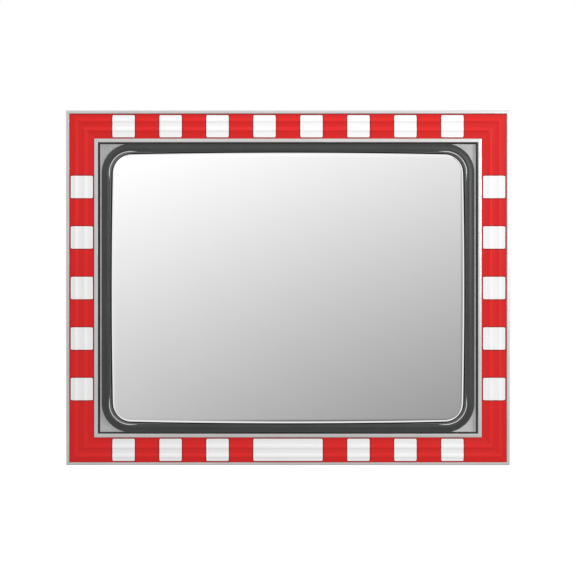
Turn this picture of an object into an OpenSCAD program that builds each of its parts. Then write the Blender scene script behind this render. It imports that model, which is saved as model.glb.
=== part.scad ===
// Convex observation mirror with a red and white warning frame, on a two-axis wall arm.
// Millimetres, +Z up. The origin is the middle of the wall plate's back face: the wall is the
// plane y = 0 and the mirror looks along -Y. Head parts are drawn in the head's own frame, where
// y is the depth behind the frame's front plane, and head() puts them in place.

/* [Frame] */
// Overall width across the frame
frame_w = 1000; // [990:5:1040]
// Overall height across the frame
frame_h = 800; // [800:5:830]
// Width of the frame's face on each side
frame_face = 71.5; // [70:0.5:71.5]
// Width of the bare metal lip around the outside
outer_lip = 6.8; // [5:0.1:8]
// Width of the bare metal lip around the opening
inner_lip = 8; // [6:0.1:9]
// Depth of the rails' outer wall
rail_depth = 26; // [25:0.5:32]
// Thickness of the rails' walls
rail_wall = 2.5; // [2:0.1:3]
// Depth of the recess that holds the sheeting
recess = 3.2; // [2.8:0.1:4]
// Height of the two stiffening ribs along each rail
rib_rise = 1.6; // [0.6:0.1:2]
// Width of each rib at its foot
rib_w = 11; // [8:0.5:12]

/* [Sheeting] */
// Thickness of the red sheeting
sheet_t = 0.4; // [0.2:0.1:0.6]
// Thickness of the white patches on it
patch_t = 0.3; // [0.2:0.1:0.5]
// Length of a white patch along the rail
patch_len = 52; // [40:1:60]
// Gap between a white patch and each lip
patch_inset = 2.5; // [1.5:0.5:4]
// Patches along the top rail
patches_x = 8; // [4:2:8]
// Patches along each side rail
patches_z = 5; // [3:1:5]
// Distance between patch centres along the top rail
pitch_x = 105.9; // [90:0.1:110]
// Distance between patch centres along a side rail
pitch_z = 113.9; // [90:0.1:118]

/* [Mirror] */
// Width of the mirror face
mirror_w = 800; // [780:1:800]
// Height of the mirror face
mirror_h = 610; // [590:1:611]
// Corner radius of the mirror face
mirror_corner = 44; // [30:1:45]
// Radius of curvature of the mirror
mirror_radius = 2200; // [2200:50:3200]
// Thickness of the mirror pane
mirror_t = 3; // [2:0.5:4]
// How far the middle of the mirror stands in front of the frame
mirror_proud = 20; // [16:1:20]
// Distance from the mirror face to the outside of the rubber ring
gasket_w = 21.5; // [19:0.5:21.5]
// Gap between the mirror's edge and the ring's lip
lip_gap = 2; // [1:0.5:3]

/* [Rear pan] */
// Depth of the pan's flange behind the frame's front plane
pan_y = 20; // [18:0.5:20]
// Sheet thickness of the pan
pan_t = 1.5; // [1:0.1:2]
// Thickness of the backing board behind the mirror
board_t = 4; // [3:1:10]

/* [Swivel] */
// Depth of the tilt axis behind the frame's front plane
tilt_depth = 120; // [118:1:140]
// Distance from the tilt axis back to the post's axis
pan_offset = 70; // [68:1:90]
// Radius of the tilt bolt
tilt_r = 6; // [5:0.5:6]
// Radial clearance of the tilt bolt and of the clamp on the post
running_gap = 0.05; // [0.03:0.01:0.08]
// Height of the post clamp
clamp_h = 90; // [80:5:110]

/* [Wall arm] */
// Distance from the wall to the post's axis
arm_reach = 310; // [280:5:400]
// Height of the mirror's centre above the arm
head_rise = 150; // [140:5:200]
// Outside radius of the post
post_r = 30; // [28:0.5:32]
// Outside radius of the arm tube
arm_r = 24; // [20:0.5:26]
// Wall thickness of both tubes
tube_t = 3; // [2:0.5:4]
// Width of the wall plate
plate_w = 200; // [180:5:260]
// Height of the wall plate
plate_h = 260; // [240:5:320]
// Thickness of the wall plate
plate_t = 8; // [6:1:12]
// Distance between the wall bolts, across
bolt_span_x = 150; // [120:5:155]
// Distance between the wall bolts, up and down
bolt_span_z = 210; // [200:5:215]
// Radius of the wall bolt holes
wall_hole_r = 5.5; // [4.5:0.5:7]

/* [Hidden] */
$fn = 96;

fit_gap = 0.2;                                   // between parts that only touch
head_y = -(arm_reach + pan_offset + tilt_depth); // the frame's front plane
band_end = frame_face - inner_lip;
rib_starts = [9, 30];                            // from the band's outer edge
rib_shoulder = 2.2;
web_back = recess + 2;                           // rear of the rail's front wall
key_u = 26;                                      // wall beside the corner keys
key_gap = 0.3;
key_leg = 75;
boss_u = [45, 55];                               // solid rib that takes the frame screws
boss_mid = (boss_u[0] + boss_u[1]) / 2;
corner_steps = 10;
patch_round = 5;
edge_break = 0.8;                                // chamfer on the rails' front edges

flange_out = 12;                                 // mirror flange beyond the mirror face
flange_y = 44;                                   // rear of the mirror flange
tape_t = 1.5;
tray_gap = 14;                                   // from mirror face to tray wall
board_y = flange_y + tape_t;
floor_y = board_y + board_t;                     // inside of the tray's floor
tray_back = floor_y + pan_t;
pan_edge = rail_wall + 0.5;                      // from the frame's side to the pan's flange
drain_r = 4;
drain_x = 300;
drain_above = 20;                                // drain holes above the mirror's lower edge

stiffener_z = 110;
stiffener_len = 640;
hat_h = 20;
hat_t = 2;
hat_crown = 34;
hat_foot = 18;
hat_back = tray_back + hat_h;

bracket_w = 120;
bracket_h = 270;
bracket_t = 5;
bracket_corner = 10;
bracket_back = hat_back + bracket_t;
bracket_bolt_x = 40;
ear_t = 8;
ear_r = 24;
tongue_half = 17;                                // half the width of the clamp's tongue
friction_t = 2;
friction_r = 19;
ear_x = tongue_half + friction_t;
tilt_outer = ear_x + ear_t;
tongue_r = 22;

clamp_r = post_r + 8;
clamp_split = 3;                                 // half the gap between the clamp halves
flange_t = 8;                                    // thickness of the clamp's wings
clamp_face = clamp_split + flange_t;
clamp_wing = 66;
clamp_bolt_x = 52;
clamp_bolt_z = 28;
m10 = 5;                                         // radius
m10_flats = 17;
m10_head = 6.4;
m10_nut = 8.4;
m10_washer_r = 10;
m10_washer_t = 2;
m12_flats = 18;
m12_head = 7.5;
m12_washer_r = 12;
m12_washer_t = 2.5;
m12_collar_r = 8.2;                              // nylon ring on the tilt nut
m12_collar = 3;
bolt_gap = 0.25;                                 // round a bolt in a fixed joint
slack_gap = 0.5;                                 // round a clamp bolt
washer_gap = 0.3;
thread_fit = 0.02;
nylon_gap = 0.05;                                // beside the friction washers
post_low = -34;
cap_plug = 18;
cap_rim = 5;
post_high = head_rise + clamp_h / 2 + 25;

weld_gap = 0.02;                                 // under a weld
gusset_t = 6;
gusset_run = 110;
plate_corner = 12;

screw_r = 2.1;
screw_head_r = 4.6;
screw_head_h = 2.6;
screw_socket_r = 1.9;
screw_bite = 2.2;                                // stiffener screws into the board
frame_screw_len = 12.5;
thread_gap = 0.05;                               // round a screw in its pilot hole
clear_gap = 0.4;                                 // round a screw in a clearance hole
frame_screw_x = [for (i = [-2.5:1:2.5]) i * 160];
frame_screw_z = [for (i = [-1.5:1:1.5]) i * 170];
stiffener_screw_x = [-285, -190, -95, 95, 190, 285];
hat_foot_mid = hat_crown / 2 + hat_foot / 2;

// ---- helpers ----

module head() { translate([0, head_y, head_rise]) children(); }

// Plan x and y become X and Z; height becomes depth along +Y.
module upright() { rotate([90, 0, 0]) mirror([0, 0, 1]) children(); }

function round_rect(w, h, r) = [
    for (q = [[1, 1, 0], [-1, 1, 90], [-1, -1, 180], [1, -1, 270]])
        for (i = [0:corner_steps])
            let (a = q[2] + 90 * i / corner_steps)
                [q[0] * (w / 2 - r) + r * cos(a), q[1] * (h / 2 - r) + r * sin(a)]
];

// A slab in the mirror's outline grown by grow, from depth y0 to depth y1.
module mirror_slab(grow, y0, y1) {
    upright() translate([0, 0, y0]) linear_extrude(height = y1 - y0)
        polygon(round_rect(mirror_w + 2 * grow, mirror_h + 2 * grow, mirror_corner + grow));
}

module hole_y(r, x, z, y0, y1) {
    translate([x, y0, z]) rotate([-90, 0, 0]) cylinder(r = r, h = y1 - y0);
}

module hex_y(flats, x, z, y0, y1) {
    translate([x, y0, z]) rotate([-90, 0, 0])
        cylinder(r = flats / sqrt(3), h = y1 - y0, $fn = 6);
}

module washer_y(x, z, y0, y1, r_in, r_out) {
    difference() {
        hole_y(r_out, x, z, y0, y1);
        hole_y(r_in, x, z, y0 - 1, y1 + 1);
    }
}

module tube_x(r, x0, x1) { translate([x0, 0, 0]) rotate([0, 90, 0]) cylinder(r = r, h = x1 - x0); }

module hex_x(flats, h) { rotate([0, 90, 0]) cylinder(r = flats / sqrt(3), h = h, $fn = 6); }

// ---- frame rails and sheeting ----

function rib_line(u0, u1, lift) = concat(
    [[u0, recess - lift]],
    [for (a = rib_starts) each [
        [outer_lip + a, recess - lift],
        [outer_lip + a + rib_shoulder, recess - lift - rib_rise],
        [outer_lip + a + rib_w - rib_shoulder, recess - lift - rib_rise],
        [outer_lip + a + rib_w, recess - lift]
    ]],
    [[u1, recess - lift]]
);

function reversed(points) = [for (i = [len(points) - 1:-1:0]) points[i]];

function layer_profile(u0, u1, under, over) = concat(
    rib_line(u0, u1, over), reversed(rib_line(u0, u1, under))
);

rail_profile = concat(
    [[0, edge_break], [edge_break, 0], [outer_lip, 0]],
    rib_line(outer_lip, band_end, 0),
    [[band_end, 0], [frame_face - edge_break, 0], [frame_face, edge_break], [frame_face, pan_y],
     [frame_face - rail_wall, pan_y], [frame_face - rail_wall, web_back],
     [boss_u[1], web_back], [boss_u[1], pan_y], [boss_u[0], pan_y], [boss_u[0], web_back],
     [key_u + 2, web_back], [key_u + 2, pan_y - 2], [key_u, pan_y - 2], [key_u, web_back],
     [rail_wall, web_back], [rail_wall, rail_depth], [0, rail_depth]]
);

// A strip along X whose outer edge is z = 0, cut at 45 degrees at both ends.
module mitred(length, profile) {
    intersection() {
        rotate([0, 90, 0]) linear_extrude(height = length, center = true) polygon(profile);
        upright() translate([0, 0, -1]) linear_extrude(height = rail_depth + 2)
            polygon([[-length / 2, 0], [length / 2, 0],
                     [length / 2 - frame_face, -frame_face],
                     [-length / 2 + frame_face, -frame_face]]);
    }
}

// Turns a strip drawn for the top into its place on side "top", "bottom", "left" or "right".
module on_side(side) {
    turn = side == "top" ? 0 : side == "right" ? 90 : side == "bottom" ? 180 : 270;
    out = (side == "top" || side == "bottom") ? frame_h / 2 : frame_w / 2;
    head() rotate([0, turn, 0]) translate([0, 0, out]) children();
}

function side_length(side) = (side == "top" || side == "bottom") ? frame_w : frame_h;

module rail(side) {
    screws = (side == "top" || side == "bottom") ? frame_screw_x : frame_screw_z;
    color("lightgray") on_side(side) difference() {
        mitred(side_length(side), rail_profile);
        for (x = screws) hole_y(screw_r + thread_gap, x, -boss_mid, web_back + 2, pan_y + 1);
    }
}

module red_sheet(side) {
    color("red") on_side(side)
        mitred(side_length(side), layer_profile(outer_lip + 0.1, band_end - 0.1, 0, sheet_t));
}

// One white patch, centred at x on the strip.
module patch(x, length) {
    u0 = outer_lip + patch_inset;
    u1 = band_end - patch_inset;
    translate([x, 0, 0]) intersection() {
        rotate([0, 90, 0]) linear_extrude(height = length + 1, center = true)
            polygon(layer_profile(u0 - 0.5, u1 + 0.5, sheet_t, sheet_t + patch_t));
        translate([0, 0, -(u0 + u1) / 2]) upright() translate([0, 0, -1])
            linear_extrude(height = recess + 2) polygon(round_rect(length, u1 - u0, patch_round));
    }
}

function row(count, pitch) = [for (i = [0:count - 1]) (i - (count - 1) / 2) * pitch];

module white_patches(side, places) {
    color("white") on_side(side) for (x = places) patch(x, patch_len);
}

module label_patch() { color("white") on_side("bottom") patch(0, patch_len + pitch_x); }

// One L per corner, loose in the rails' outer hollow by key_gap.
module corner_keys() {
    near = rail_wall + key_gap;
    far = key_u - key_gap;
    shape = [[near, near], [key_leg, near], [key_leg, far],
             [far, far], [far, key_leg], [near, key_leg]];
    color("dimgray") head() for (sx = [-1, 1], sz = [-1, 1])
        upright() translate([0, 0, web_back + key_gap])
            linear_extrude(height = pan_y - web_back - 4)
                polygon([for (p = shape) [sx * (frame_w / 2 - p[0]), sz * (frame_h / 2 - p[1])]]);
}

// ---- mirror, gasket and pan ----

// The pane is a spherical cap in a rounded rectangle, turned back all round into a skirt that
// ends in a flat flange.
module mirror_pane() {
    centre_y = mirror_radius - mirror_proud;
    color("silver") head() difference() {
        union() {
            intersection() {
                mirror_slab(-fit_gap, -mirror_proud - 1, flange_y);
                translate([0, centre_y, 0]) sphere(r = mirror_radius, $fn = 360);
            }
            mirror_slab(flange_out, flange_y - mirror_t, flange_y);
        }
        intersection() {
            mirror_slab(-fit_gap - mirror_t, -mirror_proud, flange_y + 1);
            translate([0, centre_y, 0]) sphere(r = mirror_radius - mirror_t, $fn = 360);
        }
    }
}

// Ring section: first value outwards from the mirror face, second value the depth.
gasket_crown = 4;
gasket_edge = 10;
gasket_lip = 7.5;
lip_r = 1.6;
gasket_foot = flange_y - mirror_t - fit_gap;
crown_start = lip_gap + 2 * lip_r;

function crown_depth(t) = gasket_crown
    + (gasket_lip - lip_r - gasket_crown) * pow(1 - t, 2)
    + (gasket_edge - gasket_crown) * pow(t, 5)
    - lip_r * sin(180 * t) * (1 - t);

gasket_profile = concat(
    [[lip_gap, gasket_foot], [lip_gap, gasket_lip]],
    [for (a = [180:30:270]) [lip_gap + lip_r + lip_r * cos(a), gasket_lip + lip_r * sin(a)]],
    [for (i = [1:8]) [crown_start + i / 8 * (gasket_w - crown_start), crown_depth(i / 8)]],
    [[gasket_w, pan_y], [tray_gap - fit_gap, pan_y], [tray_gap - fit_gap, gasket_foot]]
);

// Carries a section along the mirror's outline.
module around_mirror(profile) {
    x = mirror_w / 2 - mirror_corner;
    z = mirror_h / 2 - mirror_corner;
    upright() for (q = [[1, 1, 0], [-1, 1, 90], [-1, -1, 180], [1, -1, 270]]) {
        translate([q[0] * x, q[1] * z, 0]) rotate([0, 0, q[2]]) rotate_extrude(angle = 90)
            translate([mirror_corner, 0]) polygon(profile);
        straight = (q[2] % 180 == 0) ? 2 * z : 2 * x;
        reach = (q[2] % 180 == 0) ? mirror_w / 2 : mirror_h / 2;
        rotate([0, 0, q[2]]) translate([reach, 0, 0]) rotate([90, 0, 0])
            linear_extrude(height = straight, center = true) polygon(profile);
    }
}

module edge_gasket() { color("#3a3b3c") head() around_mirror(gasket_profile); }

module bond_tape() {
    color("black") head() difference() {
        mirror_slab(flange_out - 1, flange_y, board_y);
        mirror_slab(1, flange_y - 1, board_y + 1);
    }
}

module stiffener_holes(r, y0, y1) {
    for (s = [-1, 1], t = [-1, 1], x = stiffener_screw_x)
        hole_y(r, x, s * stiffener_z + t * hat_foot_mid, y0, y1);
}

module backing_board() {
    color("#2c2c2e") head() difference() {
        mirror_slab(tray_gap - 1, board_y, floor_y);
        stiffener_holes(screw_r + thread_gap, floor_y - screw_bite - 0.5, floor_y + 1);
    }
}

module frame_screw_places() {
    for (x = frame_screw_x, s = [-1, 1]) translate([x, 0, s * (frame_h / 2 - boss_mid)]) children();
    for (z = frame_screw_z, s = [-1, 1]) translate([s * (frame_w / 2 - boss_mid), 0, z]) children();
}

module rear_pan() {
    color("#b9bcbe") head() difference() {
        union() {
            upright() translate([0, 0, pan_y]) linear_extrude(height = pan_t)
                square([frame_w - 2 * pan_edge, frame_h - 2 * pan_edge], center = true);
            mirror_slab(tray_gap + pan_t, pan_y, tray_back);
        }
        mirror_slab(tray_gap, pan_y - 1, floor_y);
        frame_screw_places() hole_y(screw_r + clear_gap, 0, 0, pan_y - 1, pan_y + 5);
        stiffener_holes(screw_r + clear_gap, floor_y - 1, tray_back + 1);
        for (x = [-drain_x, drain_x])
            hole_y(drain_r, x, drain_above - mirror_h / 2, floor_y - 1, tray_back + 1);
    }
}

module pan_head_screw(y_seat, shank) {
    hole_y(screw_r, 0, 0, y_seat - shank, y_seat);
    translate([0, y_seat, 0]) rotate([-90, 0, 0]) difference() {
        cylinder(r1 = screw_head_r, r2 = screw_head_r - 1.2, h = screw_head_h);
        translate([0, 0, screw_head_h - 1.2]) cylinder(r = screw_socket_r, h = 2, $fn = 6);
    }
}

module frame_screws() {
    color("silver") head() frame_screw_places() pan_head_screw(pan_y + pan_t, frame_screw_len);
}

// ---- rear stiffeners and tilt bracket ----

module stiffener(side) {
    a = hat_crown / 2;
    b = a + hat_foot;
    section = [[-b, 0], [-a, 0], [-a, hat_h - hat_t], [a, hat_h - hat_t], [a, 0], [b, 0],
               [b, hat_t], [a + hat_t, hat_t], [a + hat_t, hat_h], [-a - hat_t, hat_h],
               [-a - hat_t, hat_t], [-b, hat_t]];
    color("#a9adb0") head() translate([0, tray_back, side * stiffener_z]) difference() {
        rotate([0, 90, 0]) linear_extrude(height = stiffener_len, center = true) polygon(section);
        for (t = [-1, 1], x = stiffener_screw_x)
            hole_y(screw_r + clear_gap, x, t * hat_foot_mid, -1, 2 * hat_t);
        for (x = [-1, 1])
            hole_y(m10 + bolt_gap, x * bracket_bolt_x, 0, hat_h - 2 * hat_t, hat_h + 1);
    }
}

module stiffener_screws() {
    color("silver") head() for (s = [-1, 1], t = [-1, 1], x = stiffener_screw_x)
        translate([x, 0, s * stiffener_z + t * hat_foot_mid])
            pan_head_screw(tray_back + hat_t, hat_t + pan_t + screw_bite);
}

module bracket_bolt_places() {
    for (x = [-1, 1], z = [-1, 1])
        translate([x * bracket_bolt_x, 0, z * stiffener_z]) children();
}

// A flat base with two ears that stand behind it and carry the tilt bolt.
module tilt_bracket() {
    color("#9da1a4") head() difference() {
        union() {
            upright() translate([0, 0, hat_back]) linear_extrude(height = bracket_t)
                polygon(round_rect(bracket_w, bracket_h, bracket_corner));
            for (s = [-1, 1]) translate([s * (ear_x + ear_t / 2) - ear_t / 2, 0, 0]) {
                translate([0, tilt_depth, 0]) tube_x(ear_r, 0, ear_t);
                translate([0, hat_back, -ear_r])
                    cube([ear_t, tilt_depth - hat_back, 2 * ear_r]);
            }
        }
        translate([0, tilt_depth, 0]) tube_x(tilt_r + running_gap, -tilt_outer - 1, tilt_outer + 1);
        bracket_bolt_places() hole_y(m10 + bolt_gap, 0, 0, hat_back - 1, bracket_back + 1);
    }
}

module bracket_bolts() {
    color("silver") head() bracket_bolt_places() {
        hex_y(m10_flats, 0, 0, hat_back - hat_t - m10_head, hat_back - hat_t);
        hole_y(m10, 0, 0, hat_back - hat_t, bracket_back + 16);
    }
}

module bracket_washers() {
    color("silver") head() bracket_bolt_places()
        washer_y(0, 0, bracket_back, bracket_back + m10_washer_t, m10 + washer_gap, m10_washer_r);
}

// An M10 nut whose seat is at depth y.
module m10_nut_y(y) {
    difference() {
        hex_y(m10_flats, 0, 0, y, y + m10_nut);
        hole_y(m10 + thread_fit, 0, 0, y - 1, y + m10_nut + 1);
    }
}

module bracket_nuts() {
    color("silver") head() bracket_bolt_places() m10_nut_y(bracket_back + m10_washer_t);
}

// ---- tilt pivot ----

module at_tilt() { head() translate([0, tilt_depth, 0]) children(); }

module tilt_bolt() {
    color("silver") at_tilt() {
        tube_x(tilt_r, -tilt_outer - m12_washer_t - 14, tilt_outer + m12_washer_t);
        translate([tilt_outer + m12_washer_t, 0, 0]) hex_x(m12_flats, m12_head);
    }
}

module tilt_washers() {
    color("silver") at_tilt() for (x = [tilt_outer, -tilt_outer - m12_washer_t])
        translate([x, 0, 0]) difference() {
            tube_x(m12_washer_r, 0, m12_washer_t);
            tube_x(tilt_r + washer_gap, -1, m12_washer_t + 1);
        }
}

// A lock nut: the collar at its outer end holds the nylon ring.
module tilt_nut() {
    nut = m12_collar + m12_head;
    color("silver") at_tilt() translate([-tilt_outer - m12_washer_t - nut, 0, 0]) difference() {
        union() {
            translate([m12_collar, 0, 0]) hex_x(m12_flats, m12_head);
            tube_x(m12_collar_r, 0, m12_collar);
        }
        tube_x(tilt_r + thread_fit, -1, nut + 1);
    }
}

module friction_washers() {
    color("ivory") at_tilt() for (x = [tongue_half, -ear_x])
        translate([x + nylon_gap, 0, 0]) difference() {
            tube_x(friction_r, 0, friction_t - 2 * nylon_gap);
            tube_x(tilt_r + fit_gap, -1, friction_t + 1);
        }
}

// ---- post clamp ----

module at_clamp() { translate([0, -arm_reach, head_rise]) children(); }

module clamp_bolt_places() {
    for (x = [-1, 1], z = [-1, 1])
        translate([x * clamp_bolt_x, 0, z * clamp_bolt_z]) children();
}

// Half of the clamp's barrel with its two wings; way is -1 for the front and 1 for the rear.
module clamp_half(way) {
    side = clamp_r + 1;
    barrel_low = way < 0 ? -side : clamp_split;
    wing_low = way < 0 ? -clamp_face : clamp_split;
    wing_in = post_r + 4;
    difference() {
        union() {
            intersection() {
                translate([0, 0, -clamp_h / 2]) cylinder(r = clamp_r, h = clamp_h);
                translate([-side, barrel_low, -clamp_h])
                    cube([2 * side, side - clamp_split, 2 * clamp_h]);
            }
            for (x = [wing_in, -clamp_wing])
                translate([x, wing_low, -clamp_h / 2]) cube([clamp_wing - wing_in, flange_t, clamp_h]);
            children();
        }
        translate([0, 0, -clamp_h]) cylinder(r = post_r + running_gap, h = 2 * clamp_h);
        clamp_bolt_places() hole_y(m10 + slack_gap, 0, 0, -clamp_face - 1, clamp_face + 1);
    }
}

module clamp_front() {
    color("#8f9396") at_clamp() difference() {
        clamp_half(-1) {
            translate([0, -pan_offset, 0]) tube_x(tongue_r, -tongue_half, tongue_half);
            translate([-tongue_half, -pan_offset, -tongue_r])
                cube([2 * tongue_half, pan_offset - post_r - 2, 2 * tongue_r]);
        }
        translate([0, -pan_offset, 0]) tube_x(tilt_r + running_gap, -tongue_half - 1, tongue_half + 1);
    }
}

module clamp_rear() { color("#8f9396") at_clamp() clamp_half(1); }

module clamp_bolts() {
    seat = -clamp_face - m10_washer_t;
    color("silver") at_clamp() clamp_bolt_places() {
        hex_y(m10_flats, 0, 0, seat - m10_head, seat);
        hole_y(m10, 0, 0, seat, clamp_face + 14);
    }
}

module clamp_washers() {
    color("silver") at_clamp() clamp_bolt_places() for (y = [-clamp_face - m10_washer_t, clamp_face])
        washer_y(0, 0, y, y + m10_washer_t, m10 + washer_gap, m10_washer_r);
}

module clamp_nuts() {
    color("silver") at_clamp() clamp_bolt_places() m10_nut_y(clamp_face + m10_washer_t);
}

// ---- wall arm ----

module at_post() { translate([0, -arm_reach, 0]) children(); }

module post_tube() {
    color("#a3a7aa") at_post() difference() {
        translate([0, 0, post_low]) cylinder(r = post_r, h = post_high - post_low);
        translate([0, 0, post_low - 1]) cylinder(r = post_r - tube_t, h = post_high - post_low + 2);
    }
}

// A plug that fills the tube's end, with a chamfered rim.
module post_cap() {
    translate([0, 0, -cap_plug]) cylinder(r = post_r - tube_t - 0.1, h = cap_plug);
    cylinder(r1 = post_r, r2 = post_r - 3, h = cap_rim);
}

module post_cap_top() { color("#222222") at_post() translate([0, 0, post_high]) post_cap(); }

module post_cap_bottom() {
    color("#222222") at_post() translate([0, 0, post_low]) mirror([0, 0, 1]) post_cap();
}

module arm_tube() {
    color("#a3a7aa") difference() {
        hole_y(arm_r, 0, 0, -arm_reach, -plate_t);
        hole_y(arm_r - tube_t, 0, 0, -arm_reach - 1, -plate_t + 1);
        at_post() translate([0, 0, -2 * post_r]) cylinder(r = post_r + weld_gap, h = 4 * post_r);
    }
}

// Webs above and below the arm, with blunt ends to weld round.
module arm_gussets() {
    rise = plate_h / 2 - 30;
    foot = arm_r + weld_gap;
    color("#a3a7aa") for (s = [-1, 1]) translate([-gusset_t / 2, 0, 0]) rotate([90, 0, 90])
        linear_extrude(height = gusset_t)
            polygon([[-plate_t, s * foot], [-plate_t, s * rise], [-plate_t - 14, s * rise],
                     [-plate_t - gusset_run, s * (arm_r + 10)], [-plate_t - gusset_run, s * foot]]);
}

module wall_plate() {
    color("#a3a7aa") difference() {
        upright() translate([0, 0, -plate_t]) linear_extrude(height = plate_t)
            polygon(round_rect(plate_w, plate_h, plate_corner));
        for (x = [-1, 1], z = [-1, 1])
            hole_y(wall_hole_r, x * bolt_span_x / 2, z * bolt_span_z / 2, -plate_t - 1, 1);
    }
}

rail("top");  // rail_top
rail("bottom");  // rail_bottom
rail("left");  // rail_left
rail("right");  // rail_right
corner_keys();
red_sheet("top");  // red_sheet_top
red_sheet("bottom");  // red_sheet_bottom
red_sheet("left");  // red_sheet_left
red_sheet("right");  // red_sheet_right
white_patches("top", row(patches_x, pitch_x));  // white_patches_top
/* white_patches_bottom */ white_patches("bottom", [for (x = row(patches_x, pitch_x)) if (abs(x) > pitch_x) x]);
white_patches("left", row(patches_z, pitch_z));  // white_patches_left
white_patches("right", row(patches_z, pitch_z));  // white_patches_right
label_patch();
mirror_pane();
edge_gasket();
bond_tape();
backing_board();
rear_pan();
frame_screws();
stiffener(1);  // stiffener_upper
stiffener(-1);  // stiffener_lower
stiffener_screws();
tilt_bracket();
bracket_bolts();
bracket_washers();
bracket_nuts();
tilt_bolt();
tilt_washers();
tilt_nut();
friction_washers();
clamp_front();
clamp_rear();
clamp_bolts();
clamp_washers();
clamp_nuts();
post_tube();
post_cap_top();
post_cap_bottom();
arm_tube();
arm_gussets();
wall_plate();
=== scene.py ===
import math

import bmesh
import bpy
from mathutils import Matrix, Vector
from mathutils.geometry import tessellate_polygon


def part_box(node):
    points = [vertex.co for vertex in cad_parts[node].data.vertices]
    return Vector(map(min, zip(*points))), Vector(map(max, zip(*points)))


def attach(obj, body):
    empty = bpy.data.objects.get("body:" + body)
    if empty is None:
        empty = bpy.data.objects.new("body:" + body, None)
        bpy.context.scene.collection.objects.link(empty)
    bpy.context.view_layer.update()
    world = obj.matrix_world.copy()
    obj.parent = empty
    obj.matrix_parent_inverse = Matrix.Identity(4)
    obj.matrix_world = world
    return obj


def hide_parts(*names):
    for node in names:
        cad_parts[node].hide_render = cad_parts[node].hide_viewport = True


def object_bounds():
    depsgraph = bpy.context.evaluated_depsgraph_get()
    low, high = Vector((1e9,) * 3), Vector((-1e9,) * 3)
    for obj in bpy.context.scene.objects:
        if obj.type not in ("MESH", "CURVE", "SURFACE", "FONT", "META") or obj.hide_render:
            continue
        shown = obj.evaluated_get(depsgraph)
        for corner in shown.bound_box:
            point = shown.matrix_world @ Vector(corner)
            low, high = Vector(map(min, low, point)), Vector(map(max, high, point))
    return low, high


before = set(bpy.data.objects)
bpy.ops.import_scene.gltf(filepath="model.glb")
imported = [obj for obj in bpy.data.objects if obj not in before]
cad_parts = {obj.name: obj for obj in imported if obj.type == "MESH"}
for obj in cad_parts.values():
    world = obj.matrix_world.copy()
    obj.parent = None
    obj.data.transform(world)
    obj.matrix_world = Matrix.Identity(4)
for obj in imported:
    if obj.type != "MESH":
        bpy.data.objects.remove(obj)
cad_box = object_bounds()

# Lengths below are millimetres. Head parts are drawn in the head's own frame: x to the right, d the
# depth behind the frame's front plane, z up from the mirror's centre.
MM = 0.001

# ---- driving sizes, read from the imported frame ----

top_lo, top_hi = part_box("rail_top")
bottom_lo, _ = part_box("rail_bottom")
sheet_lo, sheet_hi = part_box("red_sheet_top")
gasket_lo, gasket_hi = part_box("edge_gasket")
pane_lo, pane_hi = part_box("mirror_pane")
pan_lo, pan_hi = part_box("rear_pan")
front_y = top_lo.y
head_z = (top_hi.z + bottom_lo.z) / 2

FRAME_W = (top_hi.x - top_lo.x) / MM
FRAME_H = (top_hi.z - bottom_lo.z) / MM
FACE = (top_hi.z - top_lo.z) / MM
RAIL_DEPTH = (top_hi.y - top_lo.y) / MM
BAND_START = (top_hi.z - sheet_hi.z) / MM
BAND_END = (top_hi.z - sheet_lo.z) / MM
GASKET_W = 21.5
LIP_GAP = 2
MIRROR_W = (gasket_hi.x - gasket_lo.x) / MM - 2 * GASKET_W
MIRROR_H = (gasket_hi.z - gasket_lo.z) / MM - 2 * GASKET_W
MIRROR_CORNER = 44
MIRROR_RADIUS = 2200
MIRROR_PROUD = (front_y - pane_lo.y) / MM
FLANGE_Y = (pane_hi.y - front_y) / MM
PAN_Y = (pan_lo.y - front_y) / MM
TRAY_BACK = (pan_hi.y - front_y) / MM

# ---- frame section ----

RECESS = 3.2
RIB_RISE = 1.6
RIB_STARTS = (9, 30)
RIB_W = 11
RIB_SHOULDER = 3.2
RAIL_WALL = 2.5
SHEET_T = 0.4
PATCH_T = 0.3
PATCH_LEN = 52
PATCH_INSET = 2.4
PATCH_ROUND = 6.3
PATCH_SOFT = 0.12
PATCH_STEP = 0.5
# Width and fade of the dark red painted shadow round each patch.
PATCH_SHADE_W = 2.0
PATCH_GROW = 1.3
PATCH_SHADE_FADE = 0.25
# Width, fade and tone of the dark red painted shade along both edges of the red band.
RIM_SHADE_W = 0.8
RIM_SHADE_FADE = 0.2
RIM_SHADE_TONE = -0.7
MITRE_GAP = 0.08
# A hair's gap between pieces that touch, and the slack when two lengths are compared.
HAIR = 0.02
SLACK = 0.01


def place(x, d, z):
    """A point of the head's frame, in metres, in the row frame."""
    return Vector((x * MM, front_y + d * MM, head_z + z * MM))


# ---- mesh helpers ----

# A slot is named after its material, apart from these.
# Slot names that differ from their material's name; fill_slot looks them up but gives no piece a slot.
SLOTS = {
    "frame_aluminium_x": "frame_aluminium",
    "frame_aluminium_z": "frame_aluminium",
    "sealant": "ring_rubber",
    "galvanised_weld": "galvanised_bracket",
}


def fill_slot(material):
    name = material.name.split(".")[0]
    SLOTS.get(name, name)


def new_object(name, data):
    made = bpy.data.objects.new(name, data)
    bpy.context.scene.collection.objects.link(made)
    return made


def build(name, shape, material, body="mirror_head", sharp=32, relief=None):
    """Makes one piece from (points in metres, faces), smooth except across edges sharper than sharp
    degrees."""
    mesh = bpy.data.meshes.new(name)
    mesh.from_pydata([tuple(v) for v in shape[0]], [], shape[1])
    if relief is not None:
        mesh.attributes.new("relief", "FLOAT", "POINT").data.foreach_set("value", relief)
    skin = bmesh.new()
    skin.from_mesh(mesh)
    bmesh.ops.recalc_face_normals(skin, faces=skin.faces)
    skin.to_mesh(mesh)
    skin.free()
    mesh.polygons.foreach_set("use_smooth", [True] * len(mesh.polygons))
    mesh.set_sharp_from_angle(angle=math.radians(sharp))
    mesh.materials.append(material)
    piece = new_object(name, mesh)
    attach(piece, body)
    fill_slot(material)
    return piece


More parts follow.
